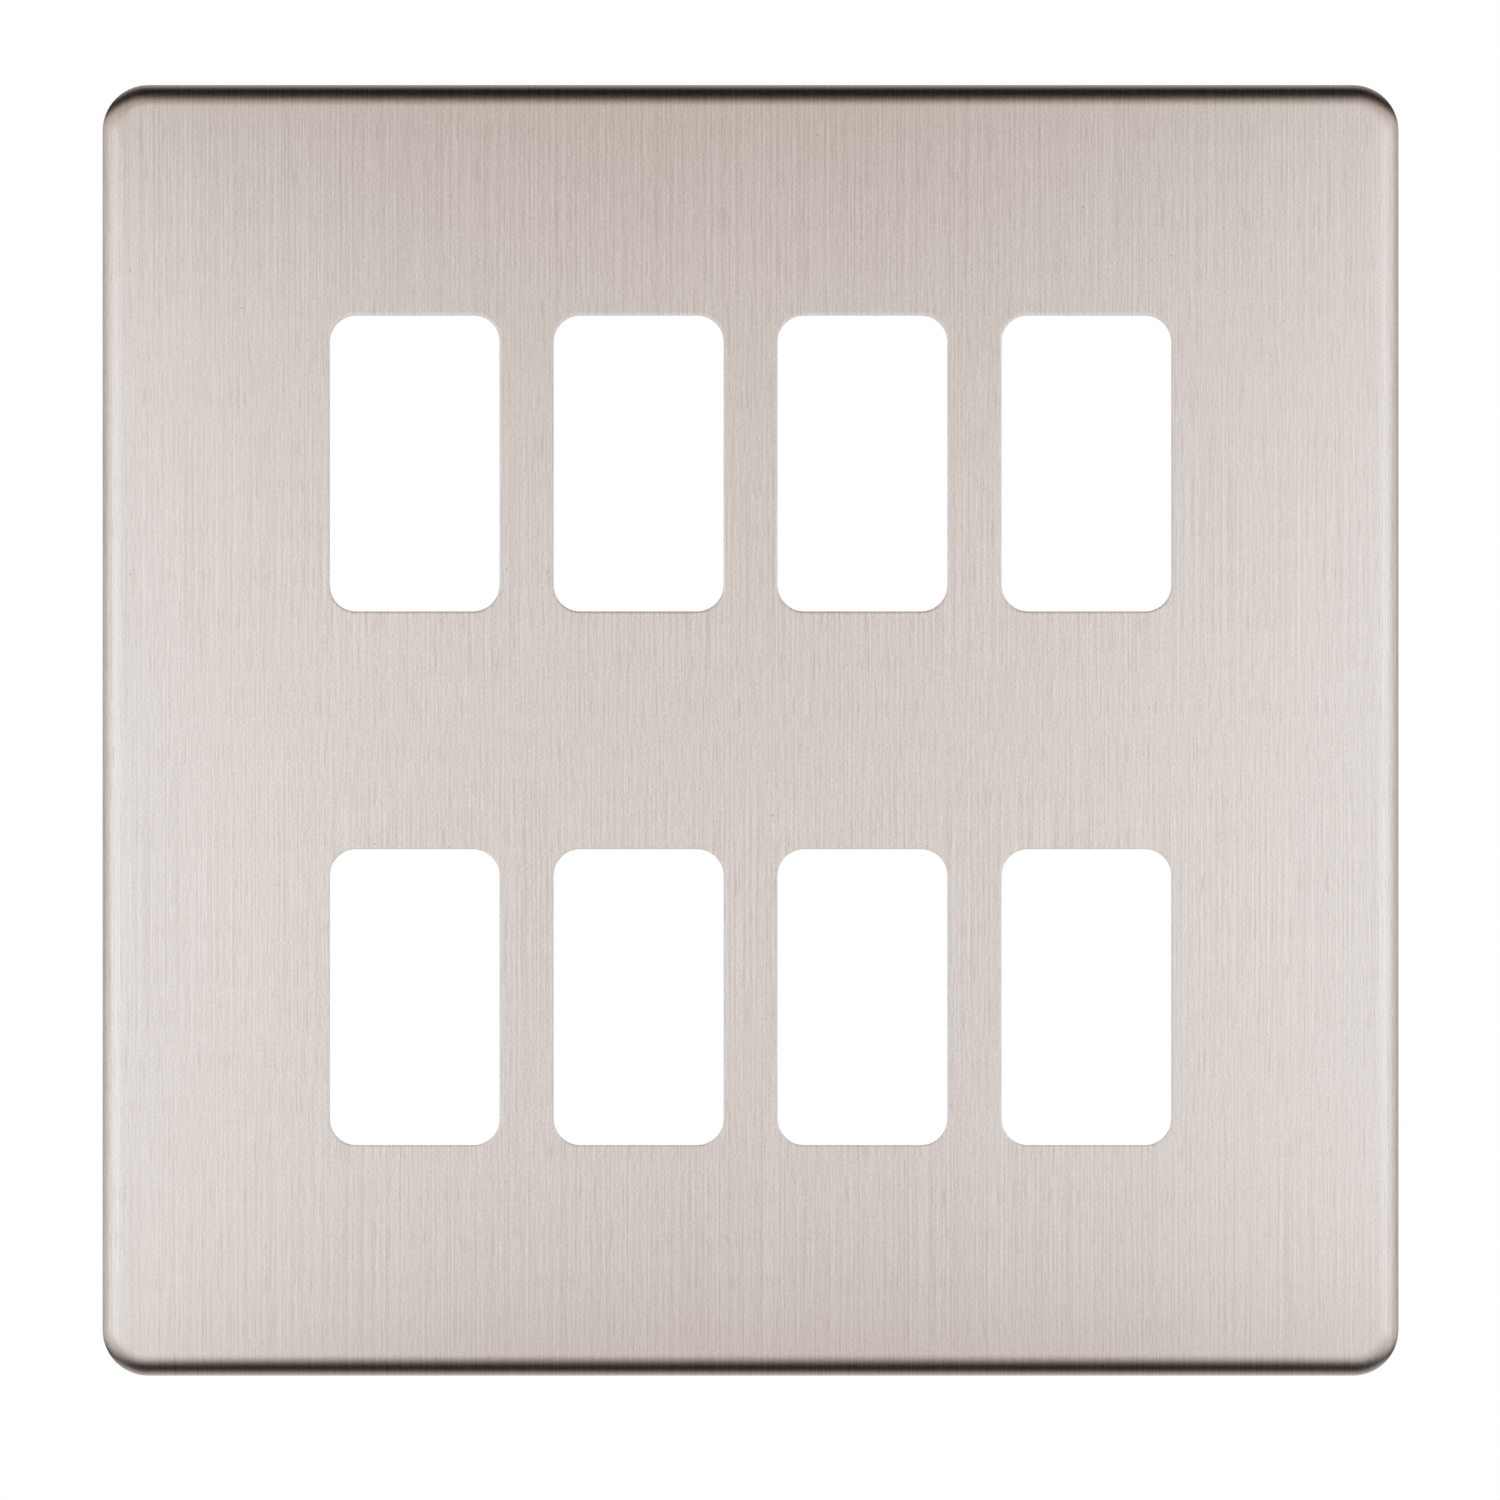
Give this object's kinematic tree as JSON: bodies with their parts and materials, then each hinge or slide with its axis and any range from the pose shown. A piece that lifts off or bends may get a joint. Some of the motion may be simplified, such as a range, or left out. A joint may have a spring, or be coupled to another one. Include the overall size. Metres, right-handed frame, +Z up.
{
  "type": "grid switch plate",
  "caption": "Flat square front plate of brushed metal with a rounded rim and rows of round-cornered windows for grid switch modules.",
  "frame": {"origin": "middle of the plate in the plane of the rim's rear edge, which is the wall plane", "axes": "+Y into the wall, so the front face looks along -Y; +Z up as the plate hangs; +X to the right seen from the front"},
  "size_m": [0.1466, 0.0055, 0.146],
  "materials": {
    "brushed_metal": "satin metal, brushed vertically"
  },
  "bodies": {
    "root": {"front_plate": "brushed_metal"}
  },
  "joints": []
}
